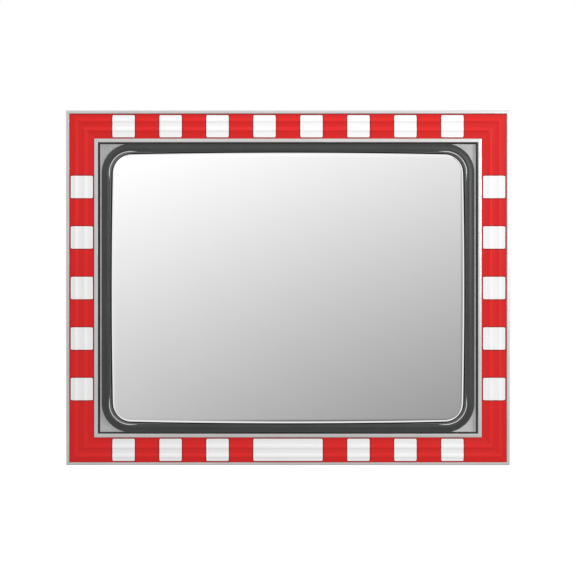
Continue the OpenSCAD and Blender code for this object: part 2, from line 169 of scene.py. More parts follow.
def stand_in(node, suffix, shape, material, **more):
    """A piece drawn in place of one CAD node."""
    piece = build(f"{node}_{suffix}", shape, material, **more)
    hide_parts(node)
    return piece


def unmirrored(piece):
    """The dome doesn't reflect this piece, so its rolled edge stays bright up to the ring."""
    piece.visible_glossy = False


def loft(rings, close_rings=False, cap_start=None, cap_end=None):
    """Quads between rings of equal length; a cap is a centre point, or "flat" for one face."""
    n = len(rings[0])
    verts = [p for ring in rings for p in ring]
    faces = []
    pairs = list(range(len(rings) - 1)) + ([len(rings) - 1] if close_rings else [])
    for k in pairs:
        a, b = k * n, ((k + 1) % len(rings)) * n
        for i in range(n):
            j = (i + 1) % n
            faces.append((a + i, a + j, b + j, b + i))
    for cap, base, turn in ((cap_start, 0, -1), (cap_end, (len(rings) - 1) * n, 1)):
        if cap is None:
            continue
        if isinstance(cap, str):
            faces.append(tuple(base + i for i in range(n))[::turn])
        else:
            verts.append(cap)
            c = len(verts) - 1
            for i in range(n):
                j = (i + 1) % n
                faces.append((base + i, base + j, c)[::turn])
    return verts, faces


def joined(parts):
    """Several (verts, faces) as one."""
    verts, faces = [], []
    for v, f in parts:
        base = len(verts)
        verts += v
        faces += [tuple(base + i for i in face) for face in f]
    return verts, faces


def arc(cx, cy, r, a0, a1, steps):
    """Points along an arc, in degrees."""
    angles = [math.radians(a0 + (a1 - a0) * i / steps) for i in range(steps + 1)]
    return [(cx + r * math.cos(a), cy + r * math.sin(a)) for a in angles]


def turns(steps):
    """The angles of one full turn, in radians."""
    return [2 * math.pi * i / steps for i in range(steps)]


def polar(r, t):
    return r * math.cos(t), r * math.sin(t)


def hex_radius(flats, t):
    """A hexagon's radius at angle t, from its width across the flats."""
    return flats / 2 / math.cos(t % (math.pi / 3) - math.pi / 6)


def smoothstep(t):
    t = max(0.0, min(1.0, t))
    return t * t * (3 - 2 * t)


def axes(origin, along, up=(0, 0, 1)):
    """Maps (a, b, w) in millimetres to the row frame, with w along an axis from origin."""
    w_axis = Vector(along)
    b_axis = Vector(up)
    a_axis = b_axis.cross(w_axis)

    def to_row(a, b, w):
        return origin + (a_axis * a + b_axis * b + w_axis * w) * MM

    return to_row


def lathe(to_row, profile, steps=36, closed=False):
    """Turns (radius, w) points about the axis; a radius of 0 at either end closes it."""
    ends = [None, None]
    for k, (r, w) in ((0, profile[0]), (1, profile[-1])):
        if r == 0:
            ends[k] = to_row(0, 0, w)
    rings = [[to_row(*polar(r, t), w) for t in turns(steps)] for r, w in profile if r > 0]
    return loft(rings, close_rings=closed, cap_start=ends[0], cap_end=ends[1])


def washer(to_row, r_in, r_out, low, high, soft=0.3):
    profile = [(r_in, low), (r_out - soft, low), (r_out, low + soft), (r_out, high - soft),
               (r_out - soft, high), (r_in + soft, high), (r_in, high - soft)]
    return lathe(to_row, profile, closed=True)


HEX_STEPS = 48
HEX_RIM = 0.96
HEX_CHAMFER = math.tan(math.radians(30))
BORE_SOFT = 0.8


def hexagon(to_row, flats, low, high, bore=0.0):
    """A hexagon prism with turned corners, for bolt heads and nuts."""
    angles = turns(HEX_STEPS)
    radii = [hex_radius(flats, t) for t in angles]
    rim = HEX_RIM * flats / 2
    drops = [(r - rim) * HEX_CHAMFER for r in radii]

    def ring(rs, ws):
        return [to_row(*polar(r, t), w) for t, r, w in zip(angles, rs, ws)]

    def circle(r, w):
        return ring([r] * HEX_STEPS, [w] * HEX_STEPS)

    rings = [circle(rim, low), ring(radii, [low + d for d in drops])]
    rings += [ring(radii, [high - d for d in drops]), circle(rim, high)]
    if bore:
        rings = [circle(bore, low + BORE_SOFT), circle(bore + BORE_SOFT, low)] + rings
        rings += [circle(bore + BORE_SOFT, high), circle(bore, high - BORE_SOFT)]
        return loft(rings, close_rings=True)
    return loft(rings, cap_start="flat", cap_end="flat")


def thread(to_row, r, pitch, low, high):
    """A right-hand thread that ends in a chamfer."""
    around, per_pitch = 20, 5
    rows = int((high - low) / pitch * per_pitch)
    depth = 0.6 * pitch
    rings = []
    for k in range(rows + 1):
        w = low + (high - low) * k / rows
        ring = []
        for i in range(around):
            ridge = 1 - abs(2 * ((w / pitch - i / around) % 1) - 1)
            size = min(r - depth * (1 - ridge), r - depth + (high - w))
            ring.append(to_row(*polar(size, 2 * math.pi * i / around), w))
        rings.append(ring)
    return loft(rings, cap_start="flat", cap_end="flat")


def bolt(to_row, r, pitch, flats, head, grip, length):
    """Head below the seat at w = 0, plain shank to grip, thread to length."""
    return joined([
        hexagon(to_row, flats, -head, 0),
        lathe(to_row, [(0, -1), (r, -1), (r, grip), (0, grip)], steps=24),
        thread(to_row, r, pitch, grip, length),
    ])


SOCKET_FLATS = 3.2
SOCKET_MOUTH, SOCKET_FOOT, SOCKET_TIP = 2.5, 1.4, 1.2


def pan_head_screw(to_row, length):
    """A domed head with a hexagon socket on the seat at w = 0, and a plain shank below it."""
    shank = [(1.2, -length), (2.1, 2 - length), (2.1, 0)]
    head = [(4.6, 0), (4.6, 0.6), (4.3, 1.5), (3.6, 2.2), (2.8, 2.55), (2.2, 2.6)]
    angles = turns(24)
    rings = [[to_row(*polar(r, t), w) for t in angles] for r, w in shank + head]
    for w in (SOCKET_MOUTH, SOCKET_FOOT):
        rings.append([to_row(*polar(hex_radius(SOCKET_FLATS, t), t), w) for t in angles])
    return loft(rings, cap_start=to_row(0, 0, -length), cap_end=to_row(0, 0, SOCKET_TIP))


def hole_loop(a, b, r, steps=36):
    """Points clockwise round a circle, as a hole in a plate."""
    return [(a + x, b - y) for x, y in (polar(r, t) for t in turns(steps))]


def rounded(points, radii, steps=4):
    """A closed outline with each corner replaced by an arc of its radius."""
    out = []
    for i, corner in enumerate(points):
        c = Vector(corner)
        to_last = (Vector(points[i - 1]) - c).normalized()
        to_next = (Vector(points[(i + 1) % len(points)]) - c).normalized()
        half = to_last.angle(to_next) / 2
        r = radii[i]
        mid = (to_last + to_next).normalized()
        centre = c + mid * (r / math.sin(half))
        start, end = c + to_last * (r / math.tan(half)), c + to_next * (r / math.tan(half))
        for k in range(steps + 1):
            p = start.lerp(end, k / steps) - centre
            out.append(tuple(centre + p.normalized() * r))
    return out


def moved_left(loop, by):
    """A loop moved to its left: into the plate, for an anticlockwise outline or a clockwise hole."""
    out = []
    for i, point in enumerate(loop):
        q = Vector(point)
        a = (q - Vector(loop[i - 1])).normalized()
        b = (Vector(loop[(i + 1) % len(loop)]) - q).normalized()
        m = Vector((-a.y - b.y, a.x + b.x))
        out.append(tuple(q + m * (2 * by / m.length_squared)))
    return out


def plate(to_row, loops, low, high, soft=0.6):
    """A flat plate from depth low to high with softened edges; the first loop is its outline."""
    verts, faces, starts = [], [], []
    for loop in loops:
        inner = moved_left(loop, soft)
        n, base = len(loop), len(verts)
        starts.append(base)
        for ring, w in ((inner, low), (loop, low + soft), (loop, high - soft), (inner, high)):
            verts += [to_row(a, b, w) for a, b in ring]
        for near in (base, base + n, base + 2 * n):
            for i in range(n):
                j = (i + 1) % n
                faces.append((near + i, near + j, near + n + j, near + n + i))
    flat = [[Vector((a, b, 0)) for a, b in moved_left(loop, soft)] for loop in loops]
    index = [start + i for start, loop in zip(starts, loops) for i in range(len(loop))]
    size = [len(loop) for loop in loops for _ in loop]
    for tri in tessellate_polygon(flat):
        faces.append(tuple(index[i] for i in tri))
        faces.append(tuple(index[i] + 3 * size[i] for i in tri[::-1]))
    return verts, faces


def weld_bead(path, r, side, closed=False):
    """A rippled bead along points in the row frame; side is a direction the path never follows."""
    rings, n = [], len(path)
    ends = None if closed else "flat"
    for i, p in enumerate(path):
        ahead = path[(i + 1) % n] if closed else path[min(i + 1, n - 1)]
        behind = path[i - 1] if closed else path[max(i - 1, 0)]
        t = (ahead - behind).normalized()
        u = t.cross(Vector(side)).normalized()
        v = t.cross(u)
        swell = r * (1 + 0.14 * math.sin(i * math.pi / 2))
        if not closed:
            swell *= min(1.0, 0.35 + 0.25 * min(i, n - 1 - i))
        rings.append([p + (u * math.cos(a) + v * math.sin(a)) * swell * MM for a in turns(8)])
    return loft(rings, close_rings=closed, cap_start=ends, cap_end=ends)


def along_line(start, end, step=1.1):
    """Points from start to end, step millimetres apart."""
    count = max(2, int((end - start).length / MM / step))
    return [start.lerp(end, i / count) for i in range(count + 1)]


# ---- materials ----


class Graph:
    """A short way to write a node tree."""

    def __init__(self, tree):
        self.tree = tree

    def link(self, a, b):
        self.tree.links.new(a, b)

    def feed(self, socket, value):
        if isinstance(value, (int, float, tuple)):
            socket.default_value = value
        else:
            self.link(value, socket)

    def node(self, kind, inputs=None, **settings):
        n = self.tree.nodes.new("ShaderNode" + kind)
        for key, value in settings.items():
            setattr(n, key, value)
        for key, value in (inputs or {}).items():
            self.feed(n.inputs[key], value)
        return n.outputs

    def set(self, name, value):
        """Feeds one of the shader's inputs."""
        self.feed(self.shader.inputs[name], value)

    def math(self, operation, *values, clamp=False):
        return self.node("Math", dict(enumerate(values)), operation=operation, use_clamp=clamp)[0]

    def mul(self, a, b):
        return self.math("MULTIPLY", a, b)

    def mad(self, a, b, c, clamp=False):
        return self.math("MULTIPLY_ADD", a, b, c, clamp=clamp)

    def top(self, a, b):
        return self.math("MAXIMUM", a, b)

    def noise(self, where, scale, detail=3.0, rough=0.5):
        inputs = {"Vector": where, "Scale": scale, "Detail": detail, "Roughness": rough}
        return self.node("TexNoise", inputs)["Fac"]

    def spread(self, value, low, high, out_low, out_high):
        """Maps low..high to out_low..out_high, and holds the ends."""
        inputs = {"Value": value, "From Min": low, "From Max": high, "To Min": out_low, "To Max": out_high}
        return self.node("MapRange", inputs, clamp=True)["Result"]

    def mix(self, share, a, b):
        return self.node("Mix", data_type="RGBA", inputs={"Factor": share, 6: a, 7: b})[2]

    def relief(self):
        """The value each vertex carries for its material."""
        return self.node("Attribute", attribute_name="relief")["Fac"]

    def stretched(self, where, scale):
        return self.node("Mapping", {"Vector": where, "Scale": scale})["Vector"]

    def bump(self, height, strength, distance):
        return self.node("Bump", {"Height": height, "Strength": strength, "Distance": distance})["Normal"]


def rgb(r, g, b):
    return (r, g, b, 1.0)


def grey(level):
    return rgb(level, level, level)


def scaled(colour, by, plus=0.0):
    """A colour darkened by a factor, then lifted by plus."""
    return rgb(*(by * c + plus for c in colour[:3]))


def new_material(name):
    """An empty Principled material, its graph and its object-space position."""
    m = bpy.data.materials.new(name)
    m.use_nodes = True
    g = Graph(m.node_tree)
    g.shader = m.node_tree.nodes["Principled BSDF"]
    return m, g, g.node("TexCoord")["Object"]


def aluminium(name, along):
    """Extruded rail: fine drawn lines along the rail, a soft sheen and a few scuffs; black painted shade
    where relief is 1."""
    m, g, where = new_material(name)
    lines = g.noise(g.stretched(where, along), 900, 2)
    cloud = g.noise(where, 9, 4)
    scuff = g.noise(where, 60, 6, 0.7)
    tone = g.mix(g.spread(cloud, 0.3, 0.7, 0, 1), rgb(0.60, 0.595, 0.59), rgb(0.67, 0.665, 0.66))
    tone = g.mix(g.spread(lines, 0.35, 0.65, 0, 0.35), tone, grey(0.52))
    tone = g.mix(g.spread(scuff, 0.62, 0.75, 0, 0.4), tone, grey(0.46))
    # Relief 1 marks the rails' inner wall, mixed to black as painted shade.
    shade_paint = g.relief()
    g.set("Base Color", g.mix(shade_paint, tone, grey(0.012)))
    g.set("Metallic", g.mad(shade_paint, -0.6, 0.6))
    g.set("Roughness", g.spread(lines, 0.3, 0.7, 0.34, 0.5))
    g.set("Normal", g.bump(lines, 0.25, 0.00005))
    return m


# Dark red for painted shade: round the patches and along the band's edges.
SHADE_RED = rgb(0.31, 0.003, 0.004)
CELL = 3.2


def sheeting(name, colour, shaded_land_colour, rough):
    """Retroreflective film: a fine diamond cell pattern under a clear skin. Relief below 0 is dark red
    painted shade, 0 the flat land in a darker colour as painted shade, and 1 a rib's crown in the lighter
    colour."""
    m, g, where = new_material(name)
    cell = 2 * math.pi / (CELL * MM)
    x, _, z = g.node("SeparateXYZ", {0: where})
    a = g.math("SINE", g.mul(g.math("ADD", x, z), cell))
    b = g.math("SINE", g.mul(g.math("SUBTRACT", x, z), cell))
    lattice = g.top(g.math("ABSOLUTE", a), g.math("ABSOLUTE", b))
    walls = g.spread(lattice, 0.0, 0.5, 1, 0)
    relief = g.relief()
    cloud = g.noise(where, 14, 4)
    # Painted shade: the lands take the darker colour, the rib crowns the lighter one.
    tone = g.mix(g.top(relief, 0.0), shaded_land_colour, colour)
    # Below 0: dark red painted shade, round the patches and along the band's edges.
    tone = g.mix(g.mul(g.math("MINIMUM", relief, 0.0), -1.0), tone, SHADE_RED)
    tone = g.mix(g.spread(walls, 0, 1, 0, 0.10), tone, scaled(shaded_land_colour, 0.6))
    grime = g.spread(g.noise(where, 30, 6, 0.7), 0.56, 0.8, 0, 0.10)
    g.set("Base Color", g.mix(grime, tone, scaled(shaded_land_colour, 0.5, 0.05)))
    g.set("Roughness", g.spread(cloud, 0.3, 0.7, rough - 0.05, rough + 0.06))
    g.set("Specular IOR Level", 0.16)
    g.set("Coat Weight", 0.03)
    g.set("Coat Roughness", 0.2)
    g.set("Normal", g.bump(walls, 0.12, 0.0001))
    return m


def mirror_metal():
    """Silvered dome: almost perfect, with the faintest haze of handling; black where relief is 1, as painted
    shade for the gap round the dome."""
    m, g, where = new_material("mirror_face")
    haze = g.noise(where, 6, 5, 0.6)
    specks = g.noise(where, 220, 2)
    silver = g.mix(g.spread(haze, 0.4, 0.7, 0, 0.3), rgb(0.95, 0.95, 0.955), rgb(0.93, 0.93, 0.935))
    # Relief 1 marks the skirt and back, mixed to black as painted shade.
    shade_paint = g.relief()
    g.set("Base Color", g.mix(shade_paint, silver, grey(0.010)))
    g.set("Metallic", g.math("SUBTRACT", 1.0, shade_paint))
    rough = g.math("ADD", g.spread(haze, 0.35, 0.75, 0.008, 0.03), g.spread(specks, 0.72, 0.8, 0, 0.05))
    g.set("Roughness", g.mad(shade_paint, 0.5, rough))
    return m


def rubber():
    """Moulded ring: dark and satin with a little bloom. Relief 1 is the lip in the corners, mixed pale as a
    painted highlight, and -1 the wall in the gap, mixed near black as painted shade."""
    m, g, where = new_material("ring_rubber")
    grain = g.noise(where, 700, 3)
    bloom = g.noise(where, 11, 5, 0.6)
    painted_light = g.relief()
    tone = g.mix(g.spread(bloom, 0.35, 0.7, 0, 1), rgb(0.024, 0.026, 0.026), rgb(0.036, 0.038, 0.038))
    # Painted shade: the wall in the gap is mixed to near black.
    tone = g.mix(g.spread(painted_light, -1, 0, 1, 0), tone, grey(0.004))
    painted_light = g.top(painted_light, 0.0)
    # Painted highlight: the lip in the corners is mixed to pale grey.
    g.set("Base Color", g.mix(painted_light, tone, rgb(0.66, 0.67, 0.67)))
    rough = g.spread(bloom, 0.3, 0.7, 0.38, 0.46)
    g.set("Roughness", g.mul(rough, g.mad(painted_light, -0.6, 1.0)))
    g.set("Specular IOR Level", 0.5)
    g.set("Normal", g.bump(grain, 0.18, 0.00012))
    return m


def galvanised(name, bright, dull, rough, spangle):
    """Zinc coated steel: spangle on sheet, a cloudy dull skin on dipped parts."""
    m, g, where = new_material(name)
    cells = g.node("TexVoronoi", {"Vector": where, "Scale": spangle}, feature="F1")
    flake = g.node("SeparateColor", {0: cells["Color"]})
    cloud = g.noise(where, 16, 6, 0.6)
    fine = g.noise(where, 420, 3)
    blend = g.mad(flake[0], 0.55, g.mul(cloud, 0.6), clamp=True)
    stain = g.spread(g.noise(g.stretched(where, (40, 40, 6)), 1, 5, 0.65), 0.58, 0.74, 0, 0.35)
    tone = g.mix(blend, dull, bright)
    g.set("Base Color", g.mix(stain, tone, scaled(dull, 0.72)))
    g.set("Metallic", 0.8)
    g.set("Roughness", g.spread(blend, 0.2, 0.9, rough + 0.1, rough - 0.06))
    g.set("Normal", g.bump(g.mad(flake[1], 0.5, fine), 0.2, 0.00012))
    return m


def zinc_plate():
    """Bright zinc fasteners, slightly yellowed in clouds."""
    m, g, where = new_material("zinc_fasteners")
    cloud = g.noise(where, 160, 4)
    tone = g.mix(g.spread(cloud, 0.35, 0.65, 0, 1), rgb(0.62, 0.61, 0.57), rgb(0.74, 0.74, 0.72))
    g.set("Base Color", tone)
    g.set("Metallic", 0.95)
    g.set("Roughness", g.spread(cloud, 0.3, 0.7, 0.24, 0.4))
    g.set("Normal", g.bump(g.noise(where, 900, 2), 0.15, 0.00005))
    return m


def moulded(name, dark, light, rough, grain_scale, metal=0.0):
    """Moulded plastic or foam, or a plain casting, with a fine grain."""
    m, g, where = new_material(name)
    grain = g.noise(where, grain_scale, 3)
    cloud = g.noise(where, 20, 4)
    g.set("Base Color", g.mix(g.spread(cloud, 0.35, 0.65, 0, 1), dark, light))
    g.set("Roughness", g.spread(grain, 0.3, 0.7, rough - 0.06, rough + 0.08))
    g.set("Metallic", metal)
    g.set("Normal", g.bump(grain, 0.3, 0.0002))
    return m


RAIL_ALONG_X = aluminium("frame_aluminium_x", (0.04, 1, 1))
RAIL_ALONG_Z = aluminium("frame_aluminium_z", (1, 1, 0.04))
# Each sheeting has a lighter colour for the rib crowns and a darker one for the lands, as painted shade.
RED = sheeting("red_sheeting", rgb(0.72, 0.018, 0.018), rgb(0.64, 0.016, 0.015), 0.55)
WHITE = sheeting("white_sheeting", rgb(0.90, 0.905, 0.905), rgb(0.85, 0.855, 0.85), 0.5)
MIRROR = mirror_metal()
RUBBER = rubber()
SHEET_STEEL = galvanised("galvanised_sheet", rgb(0.62, 0.62, 0.615), rgb(0.47, 0.475, 0.475), 0.42, 90)
DIPPED_STEEL = galvanised("galvanised_bracket", rgb(0.50, 0.51, 0.515), rgb(0.31, 0.32, 0.33), 0.5, 130)
WELD = galvanised("galvanised_weld", rgb(0.50, 0.52, 0.53), rgb(0.34, 0.36, 0.37), 0.5, 260)
ZINC = zinc_plate()
NYLON = moulded("nylon", rgb(0.80, 0.78, 0.70), rgb(0.88, 0.86, 0.79), 0.4, 500)
CAP = moulded("cap_plastic", rgb(0.020, 0.020, 0.021), rgb(0.032, 0.032, 0.034), 0.5, 900)
BOARD = moulded("board_plastic", rgb(0.05, 0.05, 0.055), rgb(0.08, 0.08, 0.085), 0.6, 300)
TAPE = moulded("foam_tape", grey(0.012), grey(0.02), 0.8, 1500)
# Near-black beads that stand in for shade at the ring's foot and along the rails' wall.
SHADE_BEAD_BLACK = moulded("sealant", grey(0.006), grey(0.012), 0.7, 1200)
CASTING = moulded("key_casting", rgb(0.22, 0.22, 0.23), rgb(0.30, 0.30, 0.31), 0.5, 400, 0.8)

# ---- frame: rails, red sheeting, white patches ----

SIDES = {
    "top": (0, FRAME_H / 2, FRAME_W, RAIL_ALONG_X),
    "right": (90, FRAME_W / 2, FRAME_H, RAIL_ALONG_Z),
    "bottom": (180, FRAME_H / 2, FRAME_W, RAIL_ALONG_X),
    "left": (270, FRAME_W / 2, FRAME_H, RAIL_ALONG_Z),
}


def on_side(side, x, u, d):
    """A point x along a rail and u in from its outer edge."""
    turn, out, _, _ = SIDES[side]
    a = math.radians(turn)
    z = out - u
    return place(x * math.cos(a) + z * math.sin(a), d, -x * math.sin(a) + z * math.cos(a))


def rib_share(u):
    """0 on the flat land of the band, 1 on a rib's crown."""
    best = 0.0
    for a in RIB_STARTS:
        start = BAND_START + a
        inside = min(u - start, start + RIB_W - u)
        best = max(best, smoothstep(inside / RIB_SHOULDER))
    return best


def band_stations(u0, u1, step=0.8):
    """Places across the band, close together on the rib shoulders and sparse between."""
    marks = {u0, u1}
    steps = int((RIB_SHOULDER + SLACK) / step) + 1
    for a in RIB_STARTS:
        for edge in (BAND_START + a, BAND_START + a + RIB_W - RIB_SHOULDER):
            marks |= {edge + k * step for k in range(steps)}
    return sorted(u for u in marks if u0 <= u <= u1)


def band_depth(u, lift):
    return RECESS - RIB_RISE * rib_share(u) - lift


RAIL_EDGE_R = 1.1
LIP_EDGE_R = 0.7
BAND_PLAY = 0.1
WEB_T = 2
SCREW_BOSS = (45, 55)
FIN = (26, 28)
# Depth behind the front from which the rails' inner wall is black, as painted shade.
SHADE_DEPTH = 1.0


def rail_section():
    """Closed section of a rail as (u, depth): front face, inner wall, then the ribs behind it."""
    r, lip = RAIL_EDGE_R, LIP_EDGE_R
    lip_in, lip_out = BAND_START - BAND_PLAY, BAND_END + BAND_PLAY
    web = RECESS + WEB_T
    fin_end = PAN_Y - WEB_T
    section = [(0, RAIL_DEPTH)] + arc(r, r, r, 180, 270, 5) + arc(lip_in - lip, lip, lip, 270, 360, 4)
    section += [(u, band_depth(u, 0)) for u in band_stations(lip_in, lip_out)]
    section += arc(lip_out + lip, lip, lip, 180, 270, 4) + arc(FACE - r, r, r, 270, 360, 5)
    section += [(FACE, PAN_Y), (FACE - RAIL_WALL, PAN_Y), (FACE - RAIL_WALL, web)]
    section += [(SCREW_BOSS[1], web), (SCREW_BOSS[1], PAN_Y), (SCREW_BOSS[0], PAN_Y), (SCREW_BOSS[0], web)]
    section += [(FIN[1], web), (FIN[1], fin_end), (FIN[0], fin_end), (FIN[0], web)]
    return section + [(RAIL_WALL, web), (RAIL_WALL, RAIL_DEPTH)]


def mitred(side, section, gap):
    """A strip whose ends are cut at 45 degrees, as two rings of the section."""
    half = SIDES[side][2] / 2
    rings = [[on_side(side, s * (half - u - gap), u, d) for u, d in section] for s in (-1, 1)]
    return loft(rings, cap_start="flat", cap_end="flat")


def make_rail(side):
    """The wall inside the opening is black behind its rounded edge: painted shade in the recess."""
    section = rail_section()
    # 1 on the inner wall behind its rounded edge: painted shade.
    painted = [1.0 if u > FACE - SLACK and d > SHADE_DEPTH else 0.0 for u, d in section] * 2
    unmirrored(stand_in(f"rail_{side}", "extrusion", mitred(side, section, MITRE_GAP), SIDES[side][3],
                        relief=painted))


def make_red(side):
    """Red sheeting over the ribs, with a thin line of dark red painted shade along both edges, where the
    band meets the lips.
    """
    marks = set(band_stations(BAND_START, BAND_END))
    for k in (RIM_SHADE_W, RIM_SHADE_W + RIM_SHADE_FADE):
        marks |= {BAND_START + k, BAND_END - k}
    over = [(u, band_depth(u, SHEET_T)) for u in sorted(marks)]
    under = [(u, band_depth(u, HAIR)) for u in band_stations(BAND_START, BAND_END)][::-1]
    section = over + under
    relief = []
    for u, _ in section:
        # Painted shade along the band's edges.
        in_shade = min(u - BAND_START, BAND_END - u) < RIM_SHADE_W + RIM_SHADE_FADE / 2
        relief.append(RIM_SHADE_TONE if in_shade else rib_share(u))
    unmirrored(stand_in(f"red_sheet_{side}", "film", mitred(side, section, HAIR), RED,
                        relief=relief * 2))


def patch_mesh(side, x, length):
    """One white patch with rounded corners and a dark red border of painted shadow round its edge, draped
    over the ribs, and its relief values: -1 on the border, then as rib_share."""
    u0 = BAND_START + PATCH_INSET - PATCH_GROW
    u1 = BAND_END - PATCH_INSET + PATCH_GROW
    soft, shade_w, shade_edge = PATCH_SOFT, PATCH_SHADE_W, PATCH_SHADE_W + PATCH_SHADE_FADE
    insets = (0, soft, shade_w, shade_edge)
    steps = int(PATCH_ROUND / PATCH_STEP) + 2
    near_ends = [k * PATCH_STEP for k in range(steps)] + [soft, shade_w, shade_edge]
    stations = set(band_stations(u0, u1))
    for k in near_ends:
        stations |= {u0 + k, u1 - k}
    stations = sorted(stations)

    def half_at(u):
        edge = min(u - u0, u1 - u)
        cut = 0.0
        if edge < PATCH_ROUND:
            cut = PATCH_ROUND - math.sqrt(max(0.0, PATCH_ROUND ** 2 - (PATCH_ROUND - edge) ** 2))
        return length / 2 + PATCH_GROW - cut

    rows, relief = [], []
    for way, inset in [(-1, v) for v in insets] + [(1, v) for v in insets[::-1]]:
        lift = SHEET_T + (PATCH_T if inset else HAIR)
        row = []
        for u in stations:
            inner = min(max(u, u0 + soft), u1 - soft) if inset else u
            row.append((way * (half_at(u) - inset), inner, band_depth(u, lift)))
            # Painted shadow round the patch's edge.
            in_shade = inset < shade_edge or min(u - u0, u1 - u) < shade_w + SLACK
            relief.append(-1.0 if in_shade else rib_share(u))
        rows.append(row)
    n, count = len(stations), len(rows)
    faces = []
    for row in range(count - 1):
        for i in range(n - 1):
            a, b = row * n + i, (row + 1) * n + i
            faces.append((a, b, b + 1, a + 1))
    last = (count - 1) * n
    for i in range(n - 1):
        faces.append((i, i + 1, last + i + 1, last + i))
    faces.append(tuple(k * n for k in range(count))[::-1])
    faces.append(tuple(k * n + n - 1 for k in range(count)))
    verts = [on_side(side, x + px, u, d) for row in rows for px, u, d in row]
    return (verts, faces), relief


def make_patches(side, node, places, length=PATCH_LEN):
    """All the patches of one CAD node, as one piece."""
    made = [patch_mesh(side, x, length) for x in places]
    relief = [v for m in made for v in m[1]]
    unmirrored(stand_in(node, "film", joined([m[0] for m in made]), WHITE, relief=relief))


def patch_row(node, count, axis):
    """Centres of a row of patches, from its node's box."""
    lo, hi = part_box(node)
    span = (hi[axis] - lo[axis]) / MM - PATCH_LEN
    return [(i - (count - 1) / 2) * span / (count - 1) for i in range(count)]


for side_name in SIDES:
    make_rail(side_name)
    make_red(side_name)
top_row = patch_row("white_patches_top", 8, 0)
side_row = patch_row("white_patches_left", 5, 2)
pitch = top_row[1] - top_row[0]
make_patches("top", "white_patches_top", top_row)
make_patches("bottom", "white_patches_bottom", [x for x in top_row if abs(x) > pitch])
for side_name in ("left", "right"):
    make_patches(side_name, f"white_patches_{side_name}", side_row)
make_patches("bottom", "label_patch", [0], PATCH_LEN + pitch)

# ---- mirror, gasket and rear pan, all carried round the mirror's outline ----

QUADRANTS = ((1, 1), (-1, 1), (-1, -1), (1, -1))
# Centres of the mirror's corner arcs, and the least share of a normal on a straight side.
CORNER_X, CORNER_Z = MIRROR_W / 2 - MIRROR_CORNER, MIRROR_H / 2 - MIRROR_CORNER
STRAIGHT = 0.999
CORNER_STEPS = 16
SIDE_STEPS = 30
LEAST_CORNER = 12


def outline(grow=0.0, corner=MIRROR_CORNER):
    """The mirror's rounded rectangle grown by grow, as (x, z, outward x, outward z)."""
    r = max(corner + grow, LEAST_CORNER)
    x0, z0 = MIRROR_W / 2 + grow - r, MIRROR_H / 2 + grow - r
    points = []
    for k, (sx, sz) in enumerate(QUADRANTS):
        for i in range(CORNER_STEPS + 1):
            nx, nz = polar(1, math.radians(90 * (k + i / CORNER_STEPS)))
            points.append((sx * x0 + r * nx, sz * z0 + r * nz, nx, nz))
        ax, az, nx, nz = points[-1]
        next_sx, next_sz = QUADRANTS[(k + 1) % 4]
        bx, bz = next_sx * x0 + r * nx, next_sz * z0 + r * nz
        for i in range(1, SIDE_STEPS):
            t = (1 - math.cos(math.pi * i / SIDE_STEPS)) / 2
            points.append((ax + (bx - ax) * t, az + (bz - az) * t, nx, nz))
    return points


def ring_at(grow, depth):
    """The outline grown by grow, at one depth."""
    return [place(x, depth, z) for x, z, _, _ in outline(grow)]


def corner_share(fade):
    """1 in the outline's corners, falling to 0 over fade millimetres along the straights."""
    shares = []
    for x, z, nx, nz in outline():
        beyond = 0.0
        if abs(nx) > STRAIGHT:
            beyond = CORNER_Z - abs(z)
        elif abs(nz) > STRAIGHT:
            beyond = CORNER_X - abs(x)
        shares.append(1 - smoothstep(max(0.0, beyond) / fade))
    return shares


def sphere_depth(x, z, radius):
    """Depth of a sphere's front at (x, z); all the mirror's spheres share one centre."""
    return MIRROR_RADIUS - MIRROR_PROUD - math.sqrt(radius * radius - x * x - z * z)


FLANGE_OUT = 12
FLANGE_SOFT = 0.6
PANE_T = 3
EDGE_ROLL = 5.0
EDGE_GROW = 0.6
DOME_CORNER = 41.5
FACE_RINGS = 40
BACK_RINGS = 12
ROLL_ANGLES = (15, 30, 45, 55, 65, 72, 80, 90)
# Rings from here on are black: painted shade in the gap between dome and ring.
SILVERED_RINGS = FACE_RINGS + 4
FIT = 0.2
TRAY_GAP = 14


